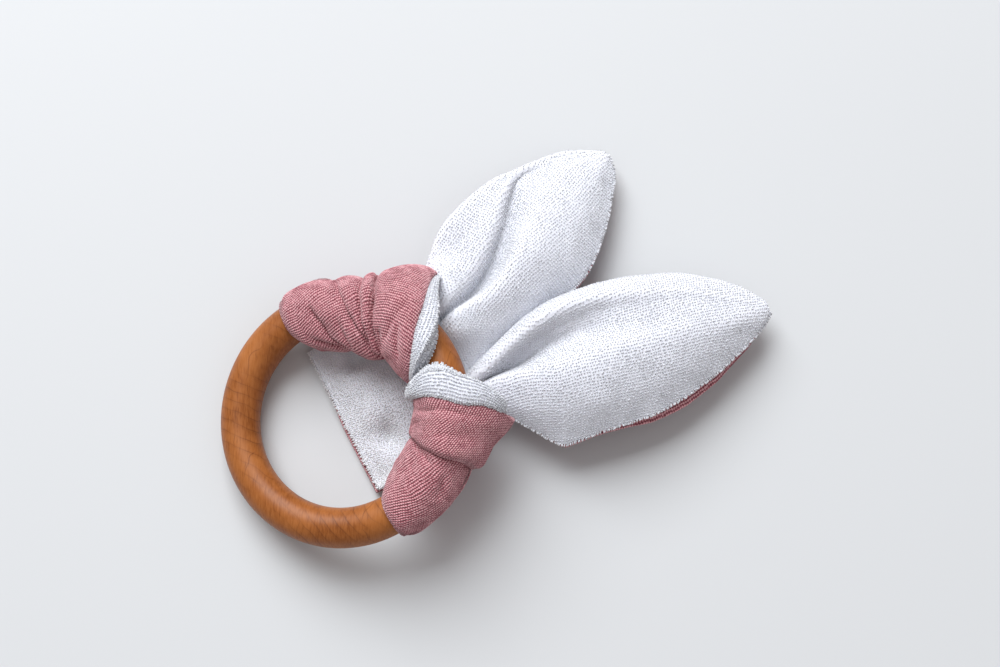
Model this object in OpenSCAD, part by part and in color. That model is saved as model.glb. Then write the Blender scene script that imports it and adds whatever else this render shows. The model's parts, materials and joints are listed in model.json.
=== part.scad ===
// Bunny-ear teething ring: a turned beech ring with one leaf-ended strip of cloth knotted on it.
// The strip is terry on one side and muslin on the other. Its middle lies flat under the ring,
// each arm wraps the ring once, gathers into a neck, passes under the ring and ends in an ear.
// Millimetres, +Z up, z = 0 is the surface that the toy lies on.

/* [Ring] */
// Outside diameter of the wooden ring
ring_od = 70; // [68:1:72]
// Diameter of the ring's round section
ring_section = 10.6; // [10.2:0.1:11]
// Lean of the ring, whose +X side rests on the knot
ring_lean = 15.5; // [15:0.1:16]
// Clearance between the ring and the cloth, so that the ring turns in the knot
ring_gap = 0.25; // [0.2:0.05:0.3]

/* [Cloth] */
// Thickness of the terry where it lies loose
terry_t = 2; // [1.6:0.1:2.2]
// Thickness of the muslin where it lies loose
muslin_t = 1; // [0.8:0.1:1.2]
// Thickness of the terry where it is pulled tight on the ring
tight_terry_t = 1.1; // [0.9:0.1:1.2]
// Space between the two cloths, which holds the seam thread
seam_gap = 0.3; // [0.25:0.05:0.35]
// Distance of the seam from the edge of the cloth
seam_inset = 2.5; // [2:0.1:3]
// Width of the run of seam thread
thread_w = 0.5; // [0.3:0.1:0.6]

/* [Ears] */
// Length of the upper ear from its fold line to its tip
upper_ear_length = 54; // [53:0.5:56]
// Length of the lower ear from its fold line to its tip
lower_ear_length = 72.5; // [71:0.5:74]
// Width of the upper ear
upper_ear_width = 34.5; // [33:0.5:35]
// Width of the lower ear
lower_ear_width = 38; // [36:0.5:39]
// Height of the fold lines, where the ears join their necks
fold_height = 8; // [7.5:0.1:8.5]

/* [Middle of the strip] */
// Length of the straight edge that shows inside the ring
bight_length = 41; // [38:0.5:42]
// Width of the strip's middle where it lies gathered
bight_width = 30; // [28:0.5:32]

/* [Hidden] */
$fn = 96;

beech = "peru";
terry_white = "whitesmoke";
muslin_pink = "palevioletred";
thread_pink = "rosybrown";

// Ring
section_r = ring_section / 2;
ring_r = ring_od / 2 - section_r;
ring_x = -40.9;
ring_y = -19.6;
ring_z = ring_r * sin(ring_lean) + section_r;
bore_r = section_r + ring_gap;
lining_r = bore_r + tight_terry_t;
tight_gap = 0.1;

// Wraps: each runs from its far end to the gap in the knot, where the ends are cut on a slant.
// The angles count from the ring's raised side. Slants are degrees for each mm from the ring's middle.
upper_far = 122;
upper_near = 41;
upper_slant = 1.15;
upper_cuff_arc = 7;
lower_far = -66;
lower_near = 4.5;
lower_slant = -0.4;
lower_cuff_arc = -10;
cuff_joint = 0.9;
lining_end_gap = 0.5;
wrap_bottom = 7.3;
wrap_far_reach = [7.6, 8.2, 7.6];
wrap_near_reach = [16.5, 10.5, 10.4];
wrap_droop = 5;
cuff_swell = 0.7;
wrap_steps = 18;
loop_points = 32;

// Middle of the strip: start of the straight edge and its direction
bight_x = -50.2;
bight_y = -1.6;
bight_turn = -64.3;
bight_corner_r = 3;
closing_stitch_count = 6;
closing_stitch_pitch = 3;
closing_stitch_l = 2;
closing_stitch_r = 0.25;

// Fold lines: [x, y, direction in which the ear lies]
upper_fold = [-2.6, 10.8, 53.5];
lower_fold = [6.8, -12.4, 18.8];
fold_gap = 2.7;
ear_rows = 26;
ear_cols = 12;
tip_cut = 0.985;
tip_clearance = 0.4;
edge_drop = 1.5;
thread_clearance = 0.06;

// Necks: where each gathered bundle starts inside the ring's hole
upper_neck_start = [-24.2, -7.4];
lower_neck_start = [-20.8, -16.2];
neck_start_half = [4.2, 3.7];
neck_end_half = [8, 1.7];
neck_z = 7.2;
neck_steps = 12;
neck_edge = 0.96;
neck_split = -0.35;
neck_split_gap = 0.06;

function lerp(a, b, t) = a + (b - a) * t;
function smooth(t) = let (c = max(0, min(1, t))) c * c * (3 - 2 * c);

// ---- closed solids from rows of points ----

function grid_index(cols, i, j) = i * cols + j;

// A sheet between a lower and an upper grid of points
module sheet(lower, upper) {
    rows = len(lower);
    cols = len(lower[0]);
    n = rows * cols;
    points = concat([for (row = lower) each row], [for (row = upper) each row]);
    function quad(a, b, c, d) = [[a, b, c], [a, c, d]];
    bottom_faces = [for (i = [0 : rows - 2], j = [0 : cols - 2])
        each quad(grid_index(cols, i, j), grid_index(cols, i + 1, j),
            grid_index(cols, i + 1, j + 1), grid_index(cols, i, j + 1))];
    top_faces = [for (i = [0 : rows - 2], j = [0 : cols - 2])
        each quad(n + grid_index(cols, i, j), n + grid_index(cols, i, j + 1),
            n + grid_index(cols, i + 1, j + 1), n + grid_index(cols, i + 1, j))];
    right_faces = [for (i = [0 : rows - 2])
        each quad(grid_index(cols, i, 0), n + grid_index(cols, i, 0),
            n + grid_index(cols, i + 1, 0), grid_index(cols, i + 1, 0))];
    left_faces = [for (i = [0 : rows - 2])
        each quad(grid_index(cols, i, cols - 1), grid_index(cols, i + 1, cols - 1),
            n + grid_index(cols, i + 1, cols - 1), n + grid_index(cols, i, cols - 1))];
    root_faces = [for (j = [0 : cols - 2])
        each quad(grid_index(cols, 0, j), grid_index(cols, 0, j + 1),
            n + grid_index(cols, 0, j + 1), n + grid_index(cols, 0, j))];
    tip_faces = [for (j = [0 : cols - 2])
        each quad(grid_index(cols, rows - 1, j), n + grid_index(cols, rows - 1, j),
            n + grid_index(cols, rows - 1, j + 1), grid_index(cols, rows - 1, j + 1))];
    polyhedron(points, concat(bottom_faces, top_faces, right_faces, left_faces, root_faces, tip_faces),
        convexity = 8);
}

// A sleeve between an outer and an inner row of loops
module sleeve(outer, inner) {
    rows = len(outer);
    cols = len(outer[0]);
    n = rows * cols;
    points = concat([for (row = outer) each row], [for (row = inner) each row]);
    function at(i, j) = i * cols + j % cols;
    function quad(a, b, c, d) = [[a, b, c], [a, c, d]];
    outer_faces = [for (i = [0 : rows - 2], j = [0 : cols - 1])
        each quad(at(i, j), at(i, j + 1), at(i + 1, j + 1), at(i + 1, j))];
    inner_faces = [for (i = [0 : rows - 2], j = [0 : cols - 1])
        each quad(n + at(i, j), n + at(i + 1, j), n + at(i + 1, j + 1), n + at(i, j + 1))];
    first_faces = [for (j = [0 : cols - 1])
        each quad(at(0, j), n + at(0, j), n + at(0, j + 1), at(0, j + 1))];
    last_faces = [for (j = [0 : cols - 1])
        each quad(at(rows - 1, j), at(rows - 1, j + 1), n + at(rows - 1, j + 1), n + at(rows - 1, j))];
    polyhedron(points, concat(outer_faces, inner_faces, first_faces, last_faces), convexity = 8);
}

// ---- ring ----

// Puts what is drawn around the ring's own axis in the ring's place
module at_ring() {
    translate([ring_x, ring_y, ring_z]) rotate([0, -ring_lean, 0]) children();
}

module ring() {
    color(beech) at_ring() rotate_extrude() translate([ring_r, 0]) circle(r = section_r);
}

// ---- wraps and cuffs ----

// A point at radial distance x and height z from the ring's middle line, at an angle around the ring
function around(angle, x, z) = [(ring_r + x) * cos(angle), (ring_r + x) * sin(angle), z];

// Reach of the wrap outwards, inwards and upwards, from its far end (u = 0) to the gap (u = 1)
function reach(u, k, swell) = swell + (k == 1
    ? lerp(wrap_far_reach[1], wrap_near_reach[1], smooth(u / 0.4))
    : lerp(wrap_far_reach[k], wrap_near_reach[k], k == 0 ? u * u : u));

function wrap_loop(far, near, slant, u, swell) = [for (j = [0 : loop_points - 1])
    let (t = 360 * j / loop_points)
    let (x = cos(t) * (cos(t) > 0 ? reach(u, 0, swell) : reach(u, 1, swell)))
    let (top = sin(t) > 0 ? reach(u, 2, swell) : wrap_bottom + swell)
    let (droop = x > 0 ? wrap_droop * u * pow(cos(t), 2) : 0)
    around(lerp(far, near, u) + slant * u * x, x, top * sin(t) - droop)];

function bore_loop(far, near, slant, u, r) = [for (j = [0 : loop_points - 1])
    let (t = 360 * j / loop_points)
    around(lerp(far, near, u) + slant * u * r * cos(t), r * cos(t), r * sin(t))];

// A stretch of cloth around the ring between two places along a wrap
module wrap_cloth(far, near, slant, from, to, steps, swell, r) {
    stations = [for (i = [0 : steps]) lerp(from, to, i / steps)];
    outer = [for (u = stations) wrap_loop(far, near, slant, u, swell)];
    inner = [for (u = stations) bore_loop(far, near, slant, u, r)];
    if (far > near) {
        mirror_rows(outer, inner);
    } else {
        sleeve(outer, inner);
    }
}

// The same sleeve with its rows taken in the other order
module mirror_rows(outer, inner) {
    last = len(outer) - 1;
    sleeve([for (i = [0 : last]) outer[last - i]], [for (i = [0 : last]) inner[last - i]]);
}

// The terry inside a wrap, pulled tight on the ring. Its end near the gap is cut straight, so it stops
// short of the slanted cuff.
module lining(far, near, slant) {
    side = sign(far - near);
    end = near + side * (abs(slant) * lining_r + lining_end_gap);
    rotate([0, 0, min(far, end)]) rotate_extrude(angle = abs(far - end)) translate([ring_r, 0]) difference() {
        circle(r = lining_r);
        circle(r = bore_r);
    }
}

module upper_wrap_muslin() {
    color(muslin_pink) at_ring()
        wrap_cloth(upper_far, upper_near, upper_slant, 0, 1, wrap_steps, 0, lining_r + tight_gap);
}

module upper_wrap_terry() {
    color(terry_white) at_ring() lining(upper_far, upper_near, upper_slant);
}

module upper_cuff() {
    span = upper_near - upper_far;
    color(terry_white) at_ring() wrap_cloth(upper_far, upper_near, upper_slant,
        1 - cuff_joint / span, 1 - upper_cuff_arc / span, 4, cuff_swell, bore_r);
}

module lower_wrap_muslin() {
    color(muslin_pink) at_ring()
        wrap_cloth(lower_far, lower_near, lower_slant, 0, 1, wrap_steps, 0, lining_r + tight_gap);
}

module lower_wrap_terry() {
    color(terry_white) at_ring() lining(lower_far, lower_near, lower_slant);
}

module lower_cuff() {
    span = lower_near - lower_far;
    color(terry_white) at_ring() wrap_cloth(lower_far, lower_near, lower_slant,
        1 + cuff_joint / span, 1 - lower_cuff_arc / span, 4, cuff_swell, bore_r);
}

// ---- middle of the strip ----

// Draws along the straight edge (+X) and across the strip (+Y)
module at_bight(z) {
    translate([bight_x, bight_y, z]) rotate([0, 0, bight_turn]) children();
}

module bight_outline() {
    square([bight_length, bight_width - bight_corner_r]);
    translate([bight_corner_r, 0]) square([bight_length - 2 * bight_corner_r, bight_width]);
    for (x = [bight_corner_r, bight_length - bight_corner_r]) {
        translate([x, bight_width - bight_corner_r]) circle(r = bight_corner_r);
    }
}

module bight_muslin() {
    color(muslin_pink) at_bight(0) linear_extrude(muslin_t) bight_outline();
}

module bight_terry() {
    color(terry_white) at_bight(muslin_t + seam_gap) linear_extrude(terry_t) bight_outline();
}

module bight_seam() {
    color(thread_pink) at_bight(muslin_t + 0.05) linear_extrude(seam_gap - 0.1)
        for (y = [seam_inset, bight_width - seam_inset]) {
            translate([bight_corner_r, y]) square([bight_length - 2 * bight_corner_r, thread_w]);
        }
}

// Hand stitches that close the turning gap, on the strip's hidden long edge
module closing_stitches() {
    first_x = bight_length / 2 - closing_stitch_pitch * (closing_stitch_count - 1) / 2;
    color(thread_pink) at_bight(muslin_t + seam_gap / 2)
        for (i = [0 : closing_stitch_count - 1]) {
            translate([first_x + i * closing_stitch_pitch, bight_width + closing_stitch_r + 0.1, 0])
                cylinder(h = closing_stitch_l, r = closing_stitch_r, center = true);
        }
}

// ---- ears ----

// Shape of an ear: its length, its width, the share of the width at the fold line, how far it bows
// sideways, and how high its middle is domed
upper_ear_shape = [upper_ear_length, upper_ear_width, 0.4, 6, 1.5];
lower_ear_shape = [lower_ear_length, lower_ear_width, 0.4, -1.2, 4.5];

// Half of the leaf's width at a share s of its length
function leaf_half(ear, s) = ear[1] / 2 * (1 - pow(s, 4)) * lerp(ear[2], 1, smooth(s / 0.2));

// Height of the seam between the two cloths: flat at the fold line, domed, and low at the tip
function ear_height(ear, s, v) =
    lerp(fold_height, muslin_t + tip_clearance, smooth(pow(s, 1.3)))
    + ear[4] * sin(180 * s) * (1 - v * v)
    - edge_drop * smooth(s / 0.3) * (1 - s) * v * v;

// A point of the ear, at a share s of its length, a share v of its half width and dz above the seam
function ear_point(ear, s, v, dz) = [
    ear[0] * s,
    4 * ear[3] * s * (1 - s) + leaf_half(ear, s) * v,
    ear_height(ear, s, v) + dz
];

// The rows lie closer together towards the tip
function ear_share(i) = tip_cut * (1 - pow(1 - i / ear_rows, 1.4));

function ear_grid(ear, dz) = [for (i = [0 : ear_rows])
    [for (j = [0 : ear_cols]) ear_point(ear, ear_share(i), 2 * j / ear_cols - 1, dz)]];

// A row of points across the seam thread, which runs along one side of the ear
function thread_row(ear, s, side, dz) =
    let (half = leaf_half(ear, s))
    let (outer = side * (half - seam_inset) / half)
    let (inner = side * (half - seam_inset - thread_w) / half)
    [for (v = [min(outer, inner), max(outer, inner)]) ear_point(ear, s, v, dz)];

module ear_seam(ear) {
    half_t = seam_gap / 2 - thread_clearance;
    shares = [for (i = [1 : ear_rows]) if (leaf_half(ear, ear_share(i)) > 2 * seam_inset) ear_share(i)];
    for (side = [-1, 1]) {
        sheet([for (s = shares) thread_row(ear, s, side, -half_t)],
            [for (s = shares) thread_row(ear, s, side, half_t)]);
    }
}

// Draws an ear from its fold line
module at_fold(fold) {
    translate([fold[0], fold[1], 0]) rotate([0, 0, fold[2]]) children();
}

module ear_layer(ear, bottom, top) {
    sheet(ear_grid(ear, bottom), ear_grid(ear, top));
}

module upper_ear_terry() {
    color(terry_white) at_fold(upper_fold) ear_layer(upper_ear_shape, seam_gap / 2, seam_gap / 2 + terry_t);
}

module upper_ear_muslin() {
    color(muslin_pink) at_fold(upper_fold) ear_layer(upper_ear_shape, -seam_gap / 2 - muslin_t, -seam_gap / 2);
}

module upper_ear_seam() {
    color(thread_pink) at_fold(upper_fold) ear_seam(upper_ear_shape);
}

module lower_ear_terry() {
    color(terry_white) at_fold(lower_fold) ear_layer(lower_ear_shape, seam_gap / 2, seam_gap / 2 + terry_t);
}

module lower_ear_muslin() {
    color(muslin_pink) at_fold(lower_fold) ear_layer(lower_ear_shape, -seam_gap / 2 - muslin_t, -seam_gap / 2);
}

module lower_ear_seam() {
    color(thread_pink) at_fold(lower_fold) ear_seam(lower_ear_shape);
}

// ---- necks ----

// A row of points across the neck at a share t of its run. The section is an oval that flattens
// towards the ear; level runs from -1 on its underside to 1 on its crown.
function neck_row(t, start, stop, turn, level) =
    let (run = stop - start)
    let (flatten = smooth((t - 0.35) / 0.65))
    let (half_w = lerp(neck_start_half[0], neck_end_half[0], flatten))
    let (half_h = lerp(neck_start_half[1], neck_end_half[1], flatten))
    let (side = lerp([-run[1], run[0]] / norm(run), [-sin(turn), cos(turn)], smooth((t - 0.5) / 0.5)))
    [for (j = [0 : ear_cols])
        let (v = neck_edge * (2 * j / ear_cols - 1))
        let (p = start + run * t + side * half_w * v)
        [p[0], p[1], lerp(neck_z, fold_height, t) + half_h * level * sqrt(1 - v * v)]];

// One cloth of a gathered neck, from its start inside the ring to just short of the fold line
module neck_cloth(start, fold, bottom, top) {
    turn = fold[2];
    stop = [fold[0], fold[1]] - fold_gap * [cos(turn), sin(turn)];
    shares = [for (i = [0 : neck_steps]) i / neck_steps];
    sheet([for (t = shares) neck_row(t, start, stop, turn, bottom)],
        [for (t = shares) neck_row(t, start, stop, turn, top)]);
}

module upper_neck_terry() {
    color(terry_white) neck_cloth(upper_neck_start, upper_fold, neck_split, 1);
}

module upper_neck_muslin() {
    color(muslin_pink) neck_cloth(upper_neck_start, upper_fold, -1, neck_split - neck_split_gap);
}

module lower_neck_terry() {
    color(terry_white) neck_cloth(lower_neck_start, lower_fold, neck_split, 1);
}

module lower_neck_muslin() {
    color(muslin_pink) neck_cloth(lower_neck_start, lower_fold, -1, neck_split - neck_split_gap);
}

ring();
bight_terry();
bight_muslin();
bight_seam();
closing_stitches();
upper_wrap_muslin();
upper_wrap_terry();
upper_cuff();
lower_wrap_muslin();
lower_wrap_terry();
lower_cuff();
upper_neck_terry();
upper_neck_muslin();
lower_neck_terry();
lower_neck_muslin();
upper_ear_terry();
upper_ear_muslin();
upper_ear_seam();
lower_ear_terry();
lower_ear_muslin();
lower_ear_seam();
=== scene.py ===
"""Looks of the bunny-ear teething ring: a beech ring with a terry and muslin strip knotted on it.

Lengths are millimetres in this script and become metres when a mesh is made.
"""

import json
import math

import bpy
import numpy as np
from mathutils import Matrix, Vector


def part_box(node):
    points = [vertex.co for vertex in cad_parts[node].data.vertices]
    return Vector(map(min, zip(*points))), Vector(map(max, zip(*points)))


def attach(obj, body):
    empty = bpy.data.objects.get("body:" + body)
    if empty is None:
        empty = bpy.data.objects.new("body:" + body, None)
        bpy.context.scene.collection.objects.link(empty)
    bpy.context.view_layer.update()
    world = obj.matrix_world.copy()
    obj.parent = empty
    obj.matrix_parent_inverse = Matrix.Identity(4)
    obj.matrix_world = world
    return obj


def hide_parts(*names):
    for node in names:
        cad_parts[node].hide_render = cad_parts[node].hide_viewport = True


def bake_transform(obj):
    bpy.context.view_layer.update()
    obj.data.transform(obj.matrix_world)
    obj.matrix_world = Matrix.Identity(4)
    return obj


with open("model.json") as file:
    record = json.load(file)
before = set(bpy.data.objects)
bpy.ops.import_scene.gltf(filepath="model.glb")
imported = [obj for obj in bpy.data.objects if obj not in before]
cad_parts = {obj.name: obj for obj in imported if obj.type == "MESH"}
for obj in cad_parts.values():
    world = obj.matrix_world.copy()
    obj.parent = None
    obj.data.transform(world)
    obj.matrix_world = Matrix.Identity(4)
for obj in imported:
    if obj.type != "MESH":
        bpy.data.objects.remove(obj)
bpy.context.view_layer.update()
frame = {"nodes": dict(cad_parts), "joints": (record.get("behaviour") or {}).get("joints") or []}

MM = 0.001
DEGREE = math.pi / 180


# ---------------------------------------------------------------- places from the record

JOINTS = {j["name"]: j for j in frame["joints"]}


def joint_place(name):
    """A joint's position in millimetres and the direction of its axis."""
    joint = JOINTS[name]
    return np.array(joint["pos_m"]) / MM, np.array(joint["axis"], float)


ring_centre, ring_axis = joint_place("ring_turn")
lean = math.atan2(-ring_axis[0], ring_axis[2])
ring_low, ring_high = (np.array(c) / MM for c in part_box("ring"))
ring_outer = (ring_high[1] - ring_low[1]) / 2
ring_section = ((ring_high[2] - ring_low[2]) / 2 - ring_outer * math.sin(lean)) / (1 - math.sin(lean))
ring_radius = ring_outer - ring_section
bore = ring_section + 0.25  # the cloth stands this clear of the wood


def ring_to_world(p):
    """From the ring's own frame, whose plane is the ring's, to the object's frame."""
    c, s = math.cos(lean), math.sin(lean)
    x, y, z = p[..., 0], p[..., 1], p[..., 2]
    return np.stack([x * c - z * s, y, x * s + z * c], -1) + ring_centre


def fold_frame(name):
    """An ear's fold line seen from above: its place, the direction along the ear and the one across it."""
    place, axis = joint_place(name)
    d = np.array([-axis[1], axis[0]])
    return place[:2], d, np.array([-d[1], d[0]])


def fold_to_world(name, p):
    """From an ear's frame, (along, across, height) from its fold line, to the object's frame."""
    place, d, n = fold_frame(name)
    out = np.empty_like(p)
    out[..., :2] = place + p[..., 0:1] * d + p[..., 1:2] * n
    out[..., 2] = p[..., 2]
    return out


# ---------------------------------------------------------------- numbers and meshes

def smooth(t):
    """0 below 0, 1 above 1 and a smooth step between."""
    t = np.clip(t, 0, 1)
    return t * t * (3 - 2 * t)


def unit(v):
    """Vectors of length 1 along the last axis."""
    return v / np.maximum(np.linalg.norm(v, axis=-1, keepdims=True), 1e-9)


def curve(knots, values, t):
    """Smooth curve through values at rising knots, taken at t. Values may be points."""
    k = np.asarray(knots, float)
    v = np.asarray(values, float)
    flat = v.reshape(len(k), -1)
    d = np.diff(flat, axis=0) / np.diff(k)[:, None]
    m = np.empty_like(flat)
    m[0], m[-1] = d[0], d[-1]
    if len(k) > 2:
        w = np.diff(k)[:, None]
        m[1:-1] = (d[:-1] * w[1:] + d[1:] * w[:-1]) / (w[1:] + w[:-1])
    t = np.asarray(t, float)
    tt = np.clip(t.ravel(), k[0], k[-1])
    i = np.clip(np.searchsorted(k, tt, side="right") - 1, 0, len(k) - 2)
    h = (k[i + 1] - k[i])[:, None]
    s = ((tt - k[i])[:, None]) / h
    out = ((1 + 2 * s) * (1 - s) ** 2 * flat[i] + s * (1 - s) ** 2 * h * m[i]
           + s * s * (3 - 2 * s) * flat[i + 1] + s * s * (s - 1) * h * m[i + 1])
    return out.reshape(t.shape + v.shape[1:])


def run_along(line):
    """Distance from the first point of a line to each of its points."""
    return np.r_[0, np.cumsum(np.linalg.norm(np.diff(line, axis=0), axis=1))]


def at_run(places, run, line):
    """Points of a line at given distances along it."""
    return np.stack([np.interp(places, run, line[:, c]) for c in range(3)], -1)


def even(points, n):
    """n points evenly spaced along a smooth line through the given points."""
    p = np.asarray(points, float)
    knots = np.r_[0, np.cumsum(np.linalg.norm(np.diff(p, axis=0), axis=1) ** 0.7)]
    dense = curve(knots, p, np.linspace(0, knots[-1], 400))
    run = run_along(dense)
    return at_run(np.linspace(0, run[-1], n), run, dense)


def loft(lines, n_along, n_across):
    """Grid of points [along, across] on the smooth surface through lines that run side by side."""
    rows = np.stack([even(line, n_along) for line in lines], 1)
    gaps = np.linalg.norm(np.diff(rows, axis=1), axis=2).mean(0) ** 0.8
    knots = np.r_[0, np.cumsum(gaps)]
    across = np.moveaxis(rows, 1, 0)
    grid = curve(knots, across, np.linspace(0, knots[-1], n_across))
    return np.moveaxis(grid, 0, 1)


def respace(grid):
    """The same surface with even spacing across every row."""
    step = np.linalg.norm(np.diff(grid, axis=1), axis=2)
    run = np.concatenate([np.zeros((len(grid), 1)), np.cumsum(step, 1)], 1)
    out = np.empty_like(grid)
    for i, (r, g) in enumerate(zip(run, grid)):
        out[i] = at_run(np.linspace(0, r[-1], grid.shape[1]), r, g)
    return out


def normals(grid, wrap_across=False):
    """Unit normals of a grid of points, which is closed across when wrap_across is true."""
    du = np.gradient(grid, axis=0)
    if wrap_across:
        dv = (np.roll(grid, -1, 1) - np.roll(grid, 1, 1)) / 2
    else:
        dv = np.gradient(grid, axis=1)
    return unit(np.cross(du, dv))


def noise(p, scale, seed):
    """Smooth noise between about -1 and 1 at points p, with bumps about scale wide."""
    rng = np.random.default_rng(seed)
    total = np.zeros(p.shape[:-1])
    for size in (1.0, 0.5):
        for _ in range(6):
            d = rng.normal(size=p.shape[-1])
            d *= 2 * math.pi / (scale * size) / np.linalg.norm(d) * rng.uniform(0.6, 1.2)
            total += np.sin(p @ d + rng.uniform(0, 6.3)) * size / 3.2
    return total / 1.4


def mesh_object(name, verts, quads, uv=None, triangles=()):
    """A smooth-shaded object from vertices in millimetres and faces. uv holds one pair for each vertex."""
    verts = np.asarray(verts, float).reshape(-1, 3) * MM
    corners = np.r_[np.ravel(quads), np.ravel(triangles)].astype(np.int32)
    sides = np.r_[np.full(len(quads), 4), np.full(len(triangles), 3)]
    me = bpy.data.meshes.new(name)
    me.vertices.add(len(verts))
    me.vertices.foreach_set("co", verts.astype(np.float32).ravel())
    me.loops.add(len(corners))
    me.loops.foreach_set("vertex_index", corners)
    me.polygons.add(len(sides))
    me.polygons.foreach_set("loop_start", np.r_[0, np.cumsum(sides)[:-1]].astype(np.int32))
    me.polygons.foreach_set("use_smooth", np.ones(len(sides), bool))
    me.update(calc_edges=True)
    if uv is not None:
        layer = me.uv_layers.new(name="UVMap")
        layer.data.foreach_set("uv", np.asarray(uv, np.float32).reshape(-1, 2)[corners].ravel())
    me.validate()
    ob = bpy.data.objects.new(name, me)
    bpy.context.scene.collection.objects.link(ob)
    return ob


def grid_faces(rows, cols, close_rows=False, close_cols=False, offset=0):
    """Quads between neighbouring points of a grid, whose points are numbered row by row."""
    i = np.arange(rows if close_rows else rows - 1)[:, None]
    j = np.arange(cols if close_cols else cols - 1)[None, :]
    i2, j2 = (i + 1) % rows, (j + 1) % cols
    f = np.stack([i * cols + j, i2 * cols + j, i2 * cols + j2, i * cols + j2], -1)
    return f.reshape(-1, 4) + offset


# ---------------------------------------------------------------- cloth shells

def rounded(n, width_share):
    """Share of the thickness across n columns: round at both ends and full in between."""
    e = np.minimum(np.linspace(0, 1, n), np.linspace(1, 0, n)) / width_share
    return np.sqrt(np.clip(1 - (1 - np.clip(e, 0, 1)) ** 2, 0, 1))


END_SHARE = 0.2  # share of the thickness that a sheet keeps at its two ends
RIB = 0.85  # distance between the muslin's ribs


def shell(name, grid, up, down, edge, tip, rib=1.0):
    """Closed cloth between grid + up and grid - down along its normals, with rounded edges. edge and tip
    are the shares of the width and the length that are rounded."""
    rows, cols = grid.shape[:2]
    n = normals(grid)
    across = rounded(cols, edge)
    along = np.maximum(rounded(rows, tip), END_SHARE)
    share = np.minimum(across[None, :], along[:, None])[..., None]
    top = grid + n * (up * share)
    bottom = grid - n * (down * share)
    outer = np.concatenate([top, bottom[:, -2:0:-1]], 1)
    width = outer.shape[1]
    verts = outer.reshape(-1, 3)
    faces = grid_faces(rows, width, close_cols=True)
    # close the two ends by joining the top's columns to the bottom's, with a triangle at each edge
    caps, corners = [], []
    for first, turn in ((0, 1), ((rows - 1) * width, -1)):
        caps += [[first + j, first + j + 1, first + width - j - 1, first + width - j][::turn]
                 for j in range(1, cols - 2)]
        corners += [[first, first + 1, first + width - 1][::turn],
                    [first + cols - 2, first + cols - 1, first + cols][::turn]]
    step = np.linalg.norm(np.diff(grid, axis=1), axis=2).mean(0)
    v = np.r_[0, np.cumsum(step)]
    v = np.r_[v, v[-2:0:-1]]
    u = run_along(grid[:, cols // 2])
    uv = np.stack(np.broadcast_arrays(u[:, None], v[None, :] * (1 / rib)), -1)
    return mesh_object(name, verts, np.concatenate([faces, caps]), uv * 0.01, corners)


# ---------------------------------------------------------------- terry pile

LOOP_RINGS = 4
LOOP_SIDES = 3
LOOP_WIDTH = 0.2  # between the middles of a loop's feet
YARN = 0.215  # radius of the yarn
LOOP_ROOT = 0.12  # how far a loop's feet reach into the cloth
LOOP_MARGIN = 0.2  # least distance from a row's loops to the cloth's edge


def pile(name, points, normal, along, height, seed, spin):
    """Terry loops, each a closed arch of yarn standing on a point of the cloth."""
    rng = np.random.default_rng(seed)
    n = len(points)
    normal = unit(normal)
    along = unit(along - normal * np.sum(along * normal, 1, keepdims=True))
    side = np.cross(normal, along)
    twist = rng.normal(0, spin, n)
    t = along * np.cos(twist)[:, None] + side * np.sin(twist)[:, None]
    b = np.cross(normal, t)
    h = height * rng.uniform(0.88, 1.1, n)
    w = LOOP_WIDTH / 2 * rng.uniform(0.8, 1.2, n)
    tilt_t, tilt_b = rng.normal(0, 0.2, n), rng.normal(0, 0.2, n)
    a = np.linspace(0, math.pi, LOOP_RINGS)
    x = np.cos(a)[None, :] * w[:, None] * (1 + 0.15 * np.sin(a))[None, :]
    z = np.sin(a)[None, :] ** 0.8 * h[:, None]
    lean_x = tilt_t[:, None] * z
    lean_y = tilt_b[:, None] * z + (0.10 * np.cos(a))[None, :]
    local = np.stack([x + lean_x, lean_y, z - LOOP_ROOT], -1)
    tangent = unit(np.gradient(local, axis=1))
    q = unit(np.cross(tangent, np.array([0.0, 1.0, 0.0])))
    r = np.cross(q, tangent)
    ring = []
    for k in range(LOOP_SIDES):
        c, s = math.cos(2 * math.pi * k / LOOP_SIDES), math.sin(2 * math.pi * k / LOOP_SIDES)
        ring.append(local + YARN * (c * q + s * r))
    local = np.stack(ring, 2)
    world = (points[:, None, None] + local[..., 0:1] * t[:, None, None]
             + local[..., 1:2] * b[:, None, None] + local[..., 2:3] * normal[:, None, None])
    per = LOOP_RINGS * LOOP_SIDES
    one = grid_faces(LOOP_RINGS, LOOP_SIDES, close_cols=True)
    caps = np.array([[0, 1, 2], [per - 1, per - 2, per - 3]])
    first = (np.arange(n) * per)[:, None, None]
    return mesh_object(name, world.reshape(-1, 3), (one[None] + first).reshape(-1, 4),
                       triangles=(caps[None] + first).reshape(-1, 3))


def fringe(edge, inside, normal, pitch, tilt, seed):
    """Places and directions of loops that stand out along a cloth's edge. inside is a line beside it."""
    rng = np.random.default_rng(seed)
    run = run_along(edge)
    at = np.arange(0.3, run[-1], pitch)
    at = at + rng.normal(0, 0.12 * pitch, len(at))
    out = unit(edge - inside)
    lean_out = rng.uniform(0.5, 1.3, (len(at), 1)) * tilt
    stand = at_run(at, run, normal) + lean_out * at_run(at, run, out)
    place = at_run(at, run, edge * 0.8 + inside * 0.2)
    return place, stand, at_run(at, run, np.gradient(edge, axis=0))


def pick(grid, rows_at, cols_at):
    """Points of a grid at fractional row and column numbers."""
    i = np.clip(rows_at, 0, grid.shape[0] - 1.001)
    j = np.clip(cols_at, 0, grid.shape[1] - 1.001)
    i0, j0 = i.astype(int), j.astype(int)
    a, b = (i - i0)[:, None], (j - j0)[:, None]
    return (grid[i0, j0] * (1 - a) * (1 - b) + grid[i0 + 1, j0] * a * (1 - b)
            + grid[i0, j0 + 1] * (1 - a) * b + grid[i0 + 1, j0 + 1] * a * b)


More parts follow.
